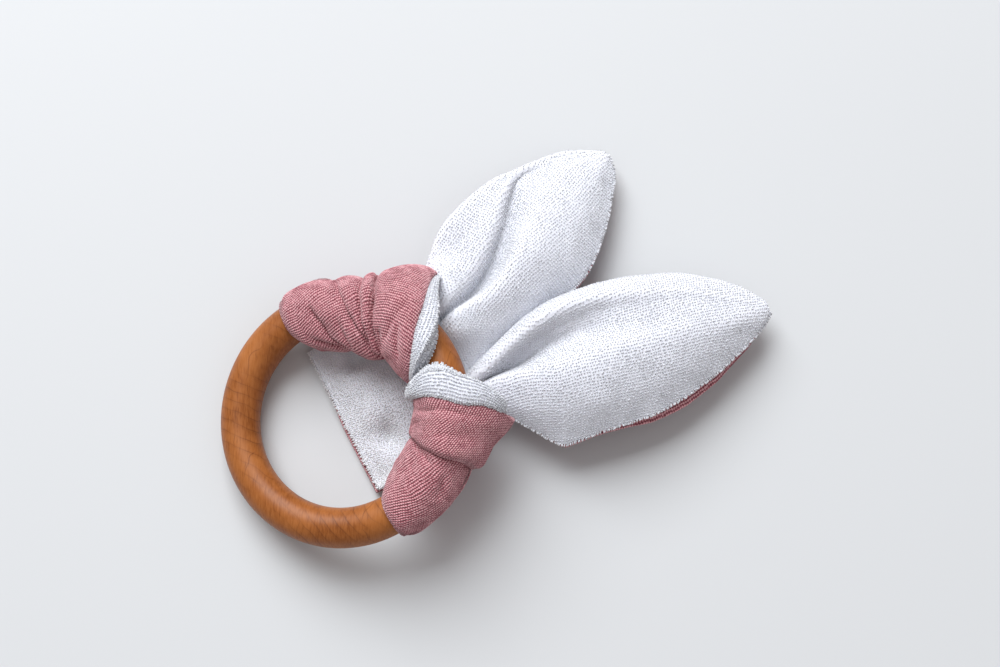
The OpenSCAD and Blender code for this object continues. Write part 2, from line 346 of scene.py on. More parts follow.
def loop_places(grid, pitch_along, pitch_across, seed, jitter):
    """Places of loops in the cloth's straight rows: fractional rows and columns of the grid."""
    rng = np.random.default_rng(seed)
    rows, cols = grid.shape[:2]
    step = np.linalg.norm(np.diff(grid, axis=1), axis=2)
    run = np.concatenate([np.zeros((rows, 1)), np.cumsum(step, 1)], 1)
    length = np.r_[0, np.cumsum(np.linalg.norm(np.diff(grid, axis=0), axis=2).mean(1))]
    at_i, at_j = [], []
    for x in np.arange(pitch_along / 2, length[-1], pitch_along):
        i = np.interp(x, length, np.arange(rows))
        k = int(i)
        r = run[k] * (1 - (i - k)) + run[min(k + 1, rows - 1)] * (i - k)
        half = r[-1] / 2
        first = math.ceil((-half + LOOP_MARGIN) / pitch_across)
        last = math.floor((half - LOOP_MARGIN) / pitch_across)
        y = np.arange(first, last + 1) * pitch_across + half
        if len(y) == 0:
            continue
        y = y + rng.normal(0, jitter * pitch_across, len(y))
        at_j.append(np.interp(y, r, np.arange(cols)))
        shift = rng.normal(0, jitter, len(y)) * (rows / length[-1]) * pitch_along
        at_i.append(np.clip(i + shift, 0, rows - 1))
    return np.concatenate(at_i), np.concatenate(at_j)


def joined_pile(name, sets, heights, seed, spin):
    """One pile from sets of places and directions, each set with its own height."""
    height = np.concatenate([np.full(len(places), h) for (places, _, _), h in zip(sets, heights)])
    points, stand, along = (np.concatenate(part) for part in zip(*sets))
    return pile(name, points, stand, along, height=height, seed=seed, spin=spin)


def sheet_pile(name, sheet, raised, pitch, jitter, edge_pitch, heights, seeds, spin):
    """Pile on a sheet, with standing loops along both of its long edges. seeds are for the loops' places,
    the first edge and the loops' shapes."""
    n = normals(sheet)
    top = sheet + n * raised
    i, j = loop_places(sheet, *pitch, seeds[0], jitter)
    sets = [(pick(top, i, j), pick(n, i, j), pick(np.gradient(sheet, axis=0), i, j)),
            fringe(top[:, 0], top[:, 4], n[:, 0], edge_pitch, 0.8, seeds[1]),
            fringe(top[:, -1], top[:, -5], n[:, -1], edge_pitch, 0.8, seeds[1] + 1)]
    return joined_pile(name, sets, heights, seeds[2], spin)


# ---------------------------------------------------------------- materials

def new_material(name):
    mat = bpy.data.materials.new(name)
    mat.use_nodes = True
    nt = mat.node_tree
    bsdf = nt.nodes["Principled BSDF"]
    return mat, nt, bsdf


def node(nt, kind, inputs=None, **settings):
    n = nt.nodes.new(kind)
    for k, v in settings.items():
        setattr(n, k, v)
    for k, v in (inputs or {}).items():
        n.inputs[k].default_value = v
    return n


def object_coords(nt):
    return node(nt, "ShaderNodeTexCoord").outputs["Object"]


def math_node(nt, op, a, b=None):
    n = node(nt, "ShaderNodeMath", operation=op)
    for k, v in enumerate((a, b)):
        if v is None:
            continue
        if isinstance(v, (int, float)):
            n.inputs[k].default_value = v
        else:
            nt.links.new(v, n.inputs[k])
    return n.outputs[0]


def plus(nt, a, b):
    return math_node(nt, "ADD", a, b)


def minus(nt, a, b):
    return math_node(nt, "SUBTRACT", a, b)


def times(nt, a, b):
    return math_node(nt, "MULTIPLY", a, b)


def ramp(nt, source, stops):
    """Colour by a value. Each stop is (value, colour), with a single number for a grey."""
    n = node(nt, "ShaderNodeValToRGB")
    el = n.color_ramp.elements
    while len(el) > 1:
        el.remove(el[-1])
    for k, (place, colour) in enumerate(stops):
        stop = el.new(place) if k else el[0]
        stop.position = place
        stop.color = (colour, colour, colour, 1) if isinstance(colour, (int, float)) else (*colour, 1)
    nt.links.new(source, n.inputs[0])
    return n.outputs[0]


def mix(nt, factor, a, b):
    n = node(nt, "ShaderNodeMix", data_type="RGBA")
    for socket, v in ((n.inputs[0], factor), (n.inputs[6], a), (n.inputs[7], b)):
        if isinstance(v, (int, float)):
            socket.default_value = v
        elif isinstance(v, tuple):
            socket.default_value = (*v, 1)
        else:
            nt.links.new(v, socket)
    return n.outputs[2]


def texture(nt, kind, vector, **inputs):
    n = node(nt, kind, inputs)
    nt.links.new(vector, n.inputs["Vector"])
    return n


def cloudy(nt, vector, **inputs):
    """Value of a noise texture."""
    return texture(nt, "ShaderNodeTexNoise", vector, **inputs).outputs[0]


def bump(nt, bsdf, height, strength, distance):
    n = node(nt, "ShaderNodeBump", {"Strength": strength, "Distance": distance})
    nt.links.new(height, n.inputs["Height"])
    nt.links.new(n.outputs[0], bsdf.inputs["Normal"])


def constants(bsdf, values):
    for socket, value in values.items():
        bsdf.inputs[socket].default_value = value


def beech_material():
    mat, nt, bsdf = new_material("beech")
    coords = object_coords(nt)
    # growth rings of the tree, about a line well outside the toy
    centre = node(nt, "ShaderNodeVectorMath", operation="SUBTRACT")
    centre.inputs[1].default_value = (-0.100, -0.105, 0)
    nt.links.new(coords, centre.inputs[0])
    warp = cloudy(nt, coords, Scale=38.0, Detail=3.0, Roughness=0.6)
    parts = node(nt, "ShaderNodeSeparateXYZ")
    nt.links.new(centre.outputs[0], parts.inputs[0])
    leant = plus(nt, parts.outputs[0], times(nt, parts.outputs[2], 0.35))
    square = plus(nt, math_node(nt, "POWER", leant, 2.0), math_node(nt, "POWER", parts.outputs[1], 2.0))
    radius = math_node(nt, "SQRT", square)
    wavy = plus(nt, radius, times(nt, minus(nt, warp, 0.5), 0.0075))
    rings = math_node(nt, "FRACT", times(nt, wavy, 1 / 0.0029))
    late = ramp(nt, rings, [(0.0, 1), (0.05, 0.25), (0.16, 0), (0.6, 0.03), (0.93, 0.34), (1.0, 1)])
    # rays: short light and dark dashes along the grain
    stretch = node(nt, "ShaderNodeMapping")
    stretch.inputs["Rotation"].default_value = (0, 0, math.radians(-35))
    stretch.inputs["Scale"].default_value = (2600, 420, 900)
    nt.links.new(coords, stretch.inputs[0])
    fleck = cloudy(nt, stretch.outputs[0], Scale=1.0, Detail=2.0)
    cloud = cloudy(nt, coords, Scale=110.0, Detail=3.0)
    base = ramp(nt, cloud, [(0.3, (0.215, 0.062, 0.011)), (0.5, (0.29, 0.090, 0.018)),
                            (0.72, (0.37, 0.126, 0.028))])
    light_dash = ramp(nt, fleck, [(0.40, 0), (0.66, 0.4)])
    flecked = mix(nt, light_dash, base, (0.42, 0.155, 0.044))
    dark_dash = ramp(nt, fleck, [(0.28, 0.32), (0.40, 0)])
    pores = mix(nt, dark_dash, flecked, (0.115, 0.028, 0.006))
    uneven = cloudy(nt, coords, Scale=70.0, Detail=2.0)
    strength = ramp(nt, uneven, [(0.42, 0.0), (0.7, 0.6)])
    grown = mix(nt, times(nt, late, strength), pores, (0.085, 0.019, 0.004))
    # a few fine lines that cross the growth lines
    slope = node(nt, "ShaderNodeVectorMath", operation="DOT_PRODUCT")
    slope.inputs[1].default_value = (0.94, -0.34, 0.3)
    nt.links.new(coords, slope.inputs[0])
    bent = plus(nt, slope.outputs["Value"], times(nt, warp, 0.016))
    crossing = math_node(nt, "FRACT", times(nt, bent, 1 / 0.0052))
    thin = ramp(nt, crossing, [(0.0, 1), (0.035, 0.3), (0.07, 0)])
    patchy = ramp(nt, cloud, [(0.5, 0), (0.64, 0.8)])
    lines = mix(nt, times(nt, thin, patchy), grown, (0.12, 0.03, 0.007))
    nt.links.new(lines, bsdf.inputs["Base Color"])
    constants(bsdf, {"Specular IOR Level": 0.27})
    rough = ramp(nt, cloud, [(0.3, 0.36), (0.7, 0.47)])
    nt.links.new(rough, bsdf.inputs["Roughness"])
    bump(nt, bsdf, minus(nt, fleck, times(nt, late, 0.5)), 0.35, 0.00006)
    return mat


def terry_material(name, shade=(0.785, 0.808, 0.875)):
    """White cotton yarn. Each loop differs a little in shade."""
    mat, nt, bsdf = new_material(name)
    coords = object_coords(nt)
    fibre = cloudy(nt, coords, Scale=5200.0, Detail=2.0)
    patch = cloudy(nt, coords, Scale=260.0, Detail=2.0)
    dark = tuple(c * 0.95 for c in shade)
    tint = ramp(nt, patch, [(0.3, dark), (0.62, shade)])
    # painted shade: the yarn is darkened to 0.88 of its colour where the fine fibre bump sinks
    painted_fibre_shade = ramp(nt, fibre, [(0.35, 0.3), (0.6, 0)])
    colour = mix(nt, painted_fibre_shade, tint, tuple(c * 0.88 for c in shade))
    nt.links.new(colour, bsdf.inputs["Base Color"])
    constants(bsdf, {"Roughness": 0.95, "Specular IOR Level": 0.2, "Sheen Weight": 0.5,
                     "Sheen Roughness": 0.5, "Subsurface Weight": 0.4,
                     "Subsurface Radius": (0.6, 0.56, 0.58), "Subsurface Scale": 0.0006})
    bump(nt, bsdf, fibre, 0.15, 0.0001)
    return mat


def muslin_material():
    """Dusty rose gauze: light beaded ribs and darker gaps, the gaps' dark partly the thinner open weave
    there and partly painted shade. UV is (millimetres along, rib number) / 100.
    """
    mat, nt, bsdf = new_material("muslin")
    tex = node(nt, "ShaderNodeTexCoord")
    parts = node(nt, "ShaderNodeSeparateXYZ")
    nt.links.new(tex.outputs["UV"], parts.inputs[0])
    wander = cloudy(nt, tex.outputs["Object"], Scale=420.0, Detail=2.0)
    shift = times(nt, minus(nt, wander, 0.5), 1.1)
    rib = plus(nt, times(nt, parts.outputs[1], 100.0), shift)
    along = times(nt, parts.outputs[0], 100.0)
    rib_wave = math_node(nt, "SINE", times(nt, rib, 2 * math.pi))
    row = math_node(nt, "FLOOR", plus(nt, rib, 0.25))
    bead = math_node(nt, "SINE", plus(nt, times(nt, along, 2 * math.pi / 0.66), times(nt, row, 2.4)))
    fibre = cloudy(nt, tex.outputs["Object"], Scale=1900.0, Detail=2.0, Roughness=0.7)
    relief = plus(nt, times(nt, bead, 0.2), times(nt, fibre, 1.15))
    height = plus(nt, times(nt, rib_wave, 0.27), relief)
    level = minus(nt, height, 0.07)
    # colour by the bump's height: the low places between the ribs are darkened, partly as the open weave's
    # own tone and partly as painted shade
    colour = ramp(nt, level, [(0.16, (0.165, 0.038, 0.052)), (0.38, (0.36, 0.115, 0.140)),
                              (0.58, (0.55, 0.225, 0.255)), (0.82, (0.80, 0.46, 0.49))])
    nt.links.new(colour, bsdf.inputs["Base Color"])
    constants(bsdf, {"Roughness": 0.95, "Specular IOR Level": 0.12, "Sheen Weight": 0.55,
                     "Sheen Roughness": 0.4, "Sheen Tint": (1.0, 0.80, 0.82, 1)})
    bump(nt, bsdf, height, 0.9, 0.0003)
    return mat


def thread_material():
    mat, nt, bsdf = new_material("thread")
    coords = object_coords(nt)
    ply = texture(nt, "ShaderNodeTexWave", coords, Scale=1800.0, Distortion=2.0)
    colour = ramp(nt, ply.outputs[1], [(0.2, (0.42, 0.13, 0.16)), (0.8, (0.66, 0.28, 0.32))])
    nt.links.new(colour, bsdf.inputs["Base Color"])
    constants(bsdf, {"Roughness": 0.6, "Sheen Weight": 0.2})
    bump(nt, bsdf, ply.outputs[1], 0.4, 0.00005)
    return mat


beech = beech_material()
terry = terry_material("terry")
# a lighter copy of the terry for the strip's middle: painted light that makes up for the wraps' shade
# falling on it
terry_painted_light = terry_material("terry_painted_light", (0.90, 0.915, 0.955))
terry_ground = terry_material("terry_ground", (0.78, 0.80, 0.87))
muslin = muslin_material()
thread = thread_material()


def finish_piece(ob, mat, replaced=(), body="knot"):
    """Give a piece its material, slot, replaced CAD nodes and the body that it rides on."""
    ob.data.materials.append(mat)
    if replaced:
        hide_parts(*replaced)
    if body:
        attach(ob, body)
    return ob


# ---------------------------------------------------------------- camera

VIEW_DISTANCE = 420.0
VIEW_ELEVATION = math.radians(80)
AIM = np.array([0.5, 4.7, 0.0])

camera = bpy.data.objects.new("camera", bpy.data.cameras.new("camera"))
bpy.context.scene.collection.objects.link(camera)
view_direction = np.array([0, -math.cos(VIEW_ELEVATION), math.sin(VIEW_ELEVATION)])
camera.location = (AIM + VIEW_DISTANCE * view_direction) * MM
camera.rotation_euler = (math.pi / 2 - VIEW_ELEVATION, 0, 0)
camera.data.lens = 54.72
camera.data.sensor_width = 36
camera.data.clip_start = 0.01
bpy.context.scene.camera = camera


# ---------------------------------------------------------------- ring

ring = frame["nodes"]["ring"]
ring.data.materials.clear()
ring.data.materials.append(beech)


# ---------------------------------------------------------------- wraps

TOP = np.array([90.0])  # angle round the section at the ring's top
RIB_HEIGHT = 0.06
WRAP_CLEAR = 1.45  # least height of the muslin over the bore that the cloth leaves for the wood
INNER_ROWS = 5
WRAP_BELOW = 7.3  # reach of the cloth under the ring
RING_STEP = 0.56  # length on the cloth of one degree round the ring
SECTION_STEP = 0.16  # length on the cloth of one degree round the section


def section(out, inward, top, bottom, droop, n):
    """Outlines round the wood with n even steps, one for each value of its reach out, inward, up and down.
    Returns x and z from the middle of the wood and the angle round the section, each [outline, step]."""
    t = np.linspace(0, 2 * math.pi, 721)[:-1]
    c, s = np.cos(t)[None], np.sin(t)[None]
    x = c * np.where(c > 0, out[:, None], inward[:, None])
    z = s * np.where(s > 0, top[:, None], bottom[:, None]) - np.where(c > 0, droop[:, None] * c ** 2, 0)
    pts_x, pts_z, ang = (np.empty((len(out), n)) for _ in range(3))
    for i in range(len(out)):
        px, pz = np.r_[x[i], x[i, 0]], np.r_[z[i], z[i, 0]]
        run = np.r_[0, np.cumsum(np.hypot(np.diff(px), np.diff(pz)))]
        at = np.linspace(0, run[-1], n + 1)[:-1]
        pts_x[i] = np.interp(at, run, px)
        pts_z[i] = np.interp(at, run, pz)
        ang[i] = np.interp(at, run, np.r_[t, 2 * math.pi])
    return pts_x, pts_z, np.degrees(ang)


def tube_normals(x, z):
    """Outward directions in the plane of the section."""
    dx = np.roll(x, -1, 1) - np.roll(x, 1, 1)
    dz = np.roll(z, -1, 1) - np.roll(z, 1, 1)
    return unit(np.stack([dz, -dx], -1))


def ring_point(theta_deg, x, z):
    """Point in the ring's frame at an angle round the ring and (x, z) from the middle of the wood."""
    a = np.radians(theta_deg)
    return np.stack([(ring_radius + x) * np.cos(a), (ring_radius + x) * np.sin(a), z], -1)


def edge_curve(section_angles, ring_angles):
    """Function from the angle round the section to the angle round the ring, the same on the underside."""
    def at(angle):
        a = np.where(angle > 180, 360 - angle, angle)
        return curve(section_angles, ring_angles, np.clip(a, section_angles[0], section_angles[-1]))

    return at


def towards_wood(x, z, radius, share):
    """Points of the section moved straight towards a circle round the wood, by a share of the way."""
    a = np.arctan2(z, x)
    bx, bz = np.cos(a) * radius, np.sin(a) * radius
    return x + (bx - x) * share, z + (bz - z) * share


def inside_of_tube(x, z, angle, first, last, shares, radius):
    """Rows of a tube's inner side, at the given shares of the way from the first edge to the last one."""
    a = np.arctan2(z, x)[None] + 0 * shares[:, None]
    theta = first(angle)[None] * (1 - shares[:, None]) + last(angle)[None] * shares[:, None]
    return ring_point(theta, np.cos(a) * radius, np.sin(a) * radius)


def ring_tube(name, grid, falling, uv=None):
    """Closed tube round the ring. falling is true when its rows run against the angle round the ring."""
    faces = grid_faces(*grid.shape[:2], close_rows=True, close_cols=True)
    if falling:
        faces = faces[:, ::-1]
    return mesh_object(name, ring_to_world(grid), faces, uv)


def wrap_piece(name, far, near, shape, relief, rows, cols, ribs, rib_slant, end_round, nodes):
    """Muslin round the ring from its far end to the gap. far and near give the end's angle for each
    angle round the section, shape gives the section at each angle, relief the height of the folds, ribs
    the number of ribs round it, and rib_slant how many ribs the cloth turns by each distance from the far
    end. end_round is the length over which the far end rounds down to the wood."""
    s = np.linspace(0, 1, rows)
    far_top, near_top = far(TOP)[0], near(TOP)[0]
    mean = far_top * (1 - s) + near_top * s
    out, inward, top, bottom, droop = shape(mean)
    x, z, angle = section(out, inward, top, bottom, droop, cols)
    theta = far(angle) * (1 - s[:, None]) + near(angle) * s[:, None]
    # the section's reach follows the real angle, not the row's mean angle
    reach_out = shape(theta)[0]
    c = np.cos(np.radians(angle))
    x = np.where(c > 0, x / out[:, None] * reach_out, x)
    n2 = tube_normals(x, z)
    h = relief(theta, angle)
    x = x + n2[..., 0] * h
    z = z + n2[..., 1] * h
    reach = np.hypot(x, z)
    grow = np.maximum(bore + WRAP_CLEAR, reach) / reach
    x, z = x * grow, z * grow
    wander = 0.30 * noise(np.stack([theta * 0.55, np.radians(angle) * 9], -1), 6.0, 100)
    run = s * abs(far_top - near_top) * DEGREE * (ring_radius + 4)
    turn = (np.linspace(0, 1, cols + 1)[:-1] - 0.25) * ribs(theta, angle)
    turn = turn + np.interp(run, *rib_slant)[:, None]
    rib = np.sin(2 * math.pi * (wander * 0.5 + turn)) * RIB_HEIGHT
    x = x + n2[..., 0] * rib
    z = z + n2[..., 1] * rib
    # the far end rounds down to the wood
    arc = np.abs(theta - far(angle)) * DEGREE * (ring_radius + x)
    e = np.clip(arc / end_round, 0, 1)
    pull = 1 - np.sqrt(np.clip(1 - (1 - e) ** 2, 0, 1))
    x, z = towards_wood(x, z, bore + 0.15, pull)
    inner = inside_of_tube(x[-1], z[-1], angle[-1], far, near, np.linspace(1, 0, INNER_ROWS), bore + 1.15)
    grid = np.concatenate([ring_point(theta, x, z), inner], 0)
    u = np.r_[run, run[-1] + np.arange(1, INNER_ROWS + 1)]
    v = np.concatenate([turn, np.repeat(turn[-1:], INNER_ROWS, 0)])
    uv = np.stack(np.broadcast_arrays(u[:, None], v), -1) * 0.01
    ob = ring_tube(name, grid, near_top < far_top, uv)
    return finish_piece(ob, muslin, nodes)


def bulges(theta, bounds, heights, power):
    """Rolls between neighbouring creases. bounds is a list of angle arrays in falling order."""
    h = np.zeros_like(theta)
    for k in range(len(bounds) - 1):
        hi, lo = bounds[k], bounds[k + 1]
        width = np.maximum(hi - lo, 0.3)
        s = np.clip((hi - theta) / width, 0, 1)
        inside = (theta <= hi) & (theta > lo)
        size = np.minimum(heights[k], width * 0.3 + 0.05)
        h = np.where(inside, size * (4 * s * (1 - s)) ** power[k], h)
    return h


def groove(theta, angle, points, depth, width):
    """A valley along a run of (angle round the ring, angle round the section), fading out at both ends."""
    p = np.array(points, float) * [RING_STEP, SECTION_STEP]
    run = run_along(p)
    x, y = theta * RING_STEP, angle * SECTION_STEP
    best = np.full(theta.shape, 1e9)
    place = np.zeros(theta.shape)
    for k in range(len(p) - 1):
        d = p[k + 1] - p[k]
        s = np.clip(((x - p[k, 0]) * d[0] + (y - p[k, 1]) * d[1]) / (d @ d), 0, 1)
        gap = np.hypot(x - p[k, 0] - s * d[0], y - p[k, 1] - s * d[1])
        near = gap < best
        best = np.where(near, gap, best)
        place = np.where(near, run[k] + s * (run[k + 1] - run[k]), place)
    ends = smooth(place / (0.3 * run[-1])) * smooth((run[-1] - place) / (0.3 * run[-1]))
    return -depth * np.exp(-((best / width) ** 1.5)) * ends


def grooves(theta, angle, table):
    return sum(groove(theta, angle, points, depth, width) for points, depth, width in table)


# upper wrap: its two ends and the four creases between them, from the far end to the gap
upper_far = edge_curve([0, 45, 95, 140, 180],
                       [119, 119.5, 121.5, 122, 118])
upper_near = edge_curve([0, 32, 48, 63, 79, 93, 110, 140, 180],
                        [57.5, 54.5, 51.5, 47.8, 43.5, 39, 34.3, 26.5, 22])
upper_c1 = edge_curve([0, 60, 85, 94, 105, 123, 145, 160, 180],
                      [112, 108, 105.5, 104, 102.9, 99.3, 95.7, 86.3, 80])
upper_c2 = edge_curve([0, 40, 60, 86, 102, 118, 134, 155, 172, 180],
                      [96, 92.5, 90.3, 87.2, 83.7, 78, 69.6, 63.6, 54, 50])
upper_c3 = edge_curve([0, 25, 45, 75, 96, 112, 132, 151, 180],
                      [82.5, 81.6, 80.0, 78.0, 75.7, 73.2, 67, 61, 47])
upper_c4 = edge_curve([0, 38, 59, 78, 100, 123, 147, 172, 180],
                      [77.5, 74.8, 72.6, 70.0, 67.6, 63.5, 56.5, 48, 44])


def reaches(angles, out, inward, top, droop):
    """Function from the angle round the ring to the section's reach out, inward, up and down, and droop."""
    def at(theta):
        outward = curve(angles, out, theta)
        return (outward, curve(angles, inward, theta), curve(angles, top, theta),
                np.full_like(outward, WRAP_BELOW), curve(angles, droop, theta))

    return at


upper_shape = reaches([20, 34, 46, 60, 67, 74, 82, 90, 100, 112, 122],
                      [15.2, 14.9, 14.8, 14.0, 12.2, 9.4, 7.0, 6.5, 6.4, 6.6, 7.2],
                      [8.6, 8.7, 9.0, 9.7, 10.5, 11.3, 11.7, 11.7, 11.3, 9.9, 8.8],
                      [10, 9.6, 9.2, 8.6, 8.2, 7.6, 7.2, 7, 6.9, 6.8, 7.0],
                      [5, 5, 4.5, 3.5, 2.8, 2, 1.2, 0.8, 0.4, 0.2, 0])


def unevenness(theta, angle, arc, height, seed):
    """Small bumps of the gathered cloth, where arc is the length of one degree round the ring."""
    p = np.stack([theta * arc, np.radians(angle) * 9, np.zeros_like(theta)], -1)
    return height * noise(p, 8.0, seed)


def top_side(angle):
    """1 on the side that shows, 0 on the underside."""
    a = np.where(angle > 270, angle - 360, angle)
    return smooth((a + 50) / 35) * (1 - smooth((a - 200) / 35))


# grooves in the upper wrap: points (angle round the ring, angle round the section), depth and width
UPPER_GROOVES = [
    ([(112, 130), (108.6, 144), (103.2, 153), (92.2, 166), (86, 178)], 1.1, 0.9),
    ([(90, 105), (88.2, 117), (85.9, 131), (80.9, 150), (76, 168)], 0.9, 1.0),
    ([(54, 62), (52.9, 87), (53.1, 103), (52.3, 119), (51.8, 140)], 0.7, 1.1),
    ([(51.8, 82), (50.2, 93), (46.6, 109), (42, 125), (33.5, 139)], 1.0, 0.9),
    ([(60, 110), (58, 124), (55, 138), (50, 152)], 0.8, 0.8),
    ([(97, 58), (95, 75), (92, 92)], 0.5, 1.2),
]


def upper_relief(theta, angle):
    far, near = upper_far(angle), upper_near(angle)
    c1, c2, c3, c4 = upper_c1(angle), upper_c2(angle), upper_c3(angle), upper_c4(angle)
    whole = bulges(theta, [far, c2, c3, c4, near], [1.6, 1.5, 2.9, 2.2], [0.5, 0.5, 0.5, 0.34])
    split = bulges(theta, [far, c1, c2, c3, c4, near], [1.5, 2.1, 1.5, 2.9, 2.2],
                   [0.5, 0.5, 0.5, 0.5, 0.34])
    share = smooth((angle - 88) / 22)
    h = whole * (1 - share) + split * share
    inward = smooth((angle - 35) / 35)
    # a crease is deepest at its line, and the first three fade out on the outer side
    for line, depth in ((c1, 0.9 * share), (c2, 0.9 * inward), (c3, 0.9 * inward), (c4, 1.2)):
        h = h - depth * np.exp(-((np.abs(theta - line) * RING_STEP / 0.55) ** 1.5))
    h = h + grooves(theta, angle, UPPER_GROOVES)
    return (h + unevenness(theta, angle, RING_STEP, 0.20, 3)) * top_side(angle)


def upper_ribs(theta, angle):
    past_c3 = smooth((upper_c3(angle) - theta) / 1.2)
    past_c4 = smooth((upper_c4(angle) - theta) / 1.2)
    return 76 + 12 * past_c3 + 20 * past_c4


upper_wrap = wrap_piece("upper_wrap", upper_far, upper_near, upper_shape, upper_relief, 216, 432,
                        upper_ribs, ([0, 5, 12, 20, 28, 40], [0, 0.5, 5, 9, 11, 10]), 2.6,
                        ["upper_wrap_muslin"])

# lower wrap: its two ends and the edge of its fold
lower_far = edge_curve([0, 40, 80, 110, 130, 150, 180],
                       [-61.5, -61.8, -61.5, -61, -60, -57.5, -55])
lower_near = edge_curve([0, 36, 52, 74, 84, 103, 127, 180],
                        [-3.0, -0.7, 0.6, 1.2, 3.2, 5.8, 7.2, 8.6])
lower_c1 = edge_curve([0, 32, 48, 63, 82, 98, 117, 140, 180],
                      [-23.2, -22, -22.3, -22.8, -23, -22.7, -22.4, -19.5, -17])

lower_shape = reaches([-62, -54, -46, -34, -25, -18, -11, -4, 4, 10],
                      [7.2, 7.3, 7.4, 7.7, 8.0, 9.0, 11.2, 15.2, 18.2, 18.6],
                      [8.0, 8.6, 9.2, 9.8, 9.9, 9.7, 9.3, 8.9, 9.2, 9.6],
                      [7.4, 7.6, 7.8, 8.2, 8.6, 9.0, 9.4, 9.8, 10.2, 10.4],
                      [0, 0.3, 0.7, 1.4, 2, 2.6, 3.2, 4, 4.6, 5])

# grooves in the lower wrap: points (angle round the ring, angle round the section), depth and width
LOWER_GROOVES = [
    ([(-20.5, 142), (-22.5, 126), (-24.9, 107), (-27.5, 88), (-30, 74)], 1.1, 0.9),
    ([(-25, 82), (-30, 80), (-34, 71), (-38.6, 52), (-42, 40)], 0.6, 1.3),
    ([(-27, 48), (-31, 50), (-36, 44), (-42, 34)], 0.55, 1.1),
    ([(-24, 112), (-30, 112), (-38, 118), (-46, 122)], 0.5, 1.3),
    ([(1.5, 160), (-1.9, 124), (-1.3, 90), (-3.0, 68), (-4.5, 40)], 0.8, 1.1),
    ([(-12, 165), (-9, 140), (-8, 120)], 0.6, 1.2),
    ([(-14, 38), (-12, 60), (-13, 80), (-16, 96)], 0.45, 1.5),
]


def lower_relief(theta, angle):
    near, c1 = lower_near(angle), lower_c1(angle)
    arc = DEGREE * (ring_radius + 3)
    # the upper half is a fold whose lower edge stands over the sleeve below it
    s = np.clip((near - theta) / np.maximum(near - c1, 0.5), 0, 1)
    outer_side = 1 - smooth((angle - 58) / 78)
    fold = 0.8 * (4 * s * (1 - s)) ** 0.5 + 1.5 * smooth((s - 0.3) / 0.6) * outer_side
    drop = np.sqrt(np.clip(1 - ((s - 0.94) / 0.06).clip(0, 1) ** 2, 0, 1))
    fold = np.where(theta >= c1, fold * drop, 0)
    below = np.clip((c1 - theta) * arc, 0, None)
    swell = 0.6 * np.sin(np.clip(below / 22, 0, 1) * math.pi)
    sleeve = np.where(theta < c1, -0.8 * np.exp(-below / 2.0) + swell, 0)
    crease = 0.8 * np.exp(-((np.abs(theta - c1 - 0.6) * arc / 0.5) ** 1.5))
    h = fold + sleeve - crease * (1 - smooth((angle - 118) / 25))
    h = h + grooves(theta, angle, LOWER_GROOVES)
    return (h + unevenness(theta, angle, arc, 0.24, 5)) * top_side(angle)


def lower_ribs(theta, angle):
    return 70 + 30 * smooth((theta - lower_c1(angle)) / 1.2)


lower_wrap = wrap_piece("lower_wrap", lower_far, lower_near, lower_shape, lower_relief, 224, 400,
                        lower_ribs, ([0, 10, 21, 42], [0, 5.5, 8.5, 16.5]), 2.8, ["lower_wrap_muslin"])


# ---------------------------------------------------------------- linings

def lining(name, low, high, nodes):
    """Terry sleeve round the wood inside a wrap, between two angles round the ring."""
    rows, cols = 40, 48
    theta = np.linspace(low, high, rows)[:, None]
    t = np.linspace(0, 2 * math.pi, cols + 1)[:-1][None]
    loops = []
    for r in (bore + 0.75, bore + 0.05):
        wob = 0.06 * np.sin(t * 7 + theta * 0.3)
        loops.append(ring_point(theta + 0 * t, (r + wob) * np.cos(t), (r + wob) * np.sin(t)))
    ob = ring_tube(name, np.concatenate([loops[0], loops[1][::-1]], 0), False)
    return finish_piece(ob, terry_ground, nodes)


upper_lining = lining("upper_wrap_lining", 58.5, 116, ["upper_wrap_terry"])
lower_lining = lining("lower_wrap_lining", -52.5, -4.5, ["lower_wrap_terry"])


# ---------------------------------------------------------------- cuffs

TURN_DOWN = 0.72  # share of a cuff's width at which it begins to turn down to the wood


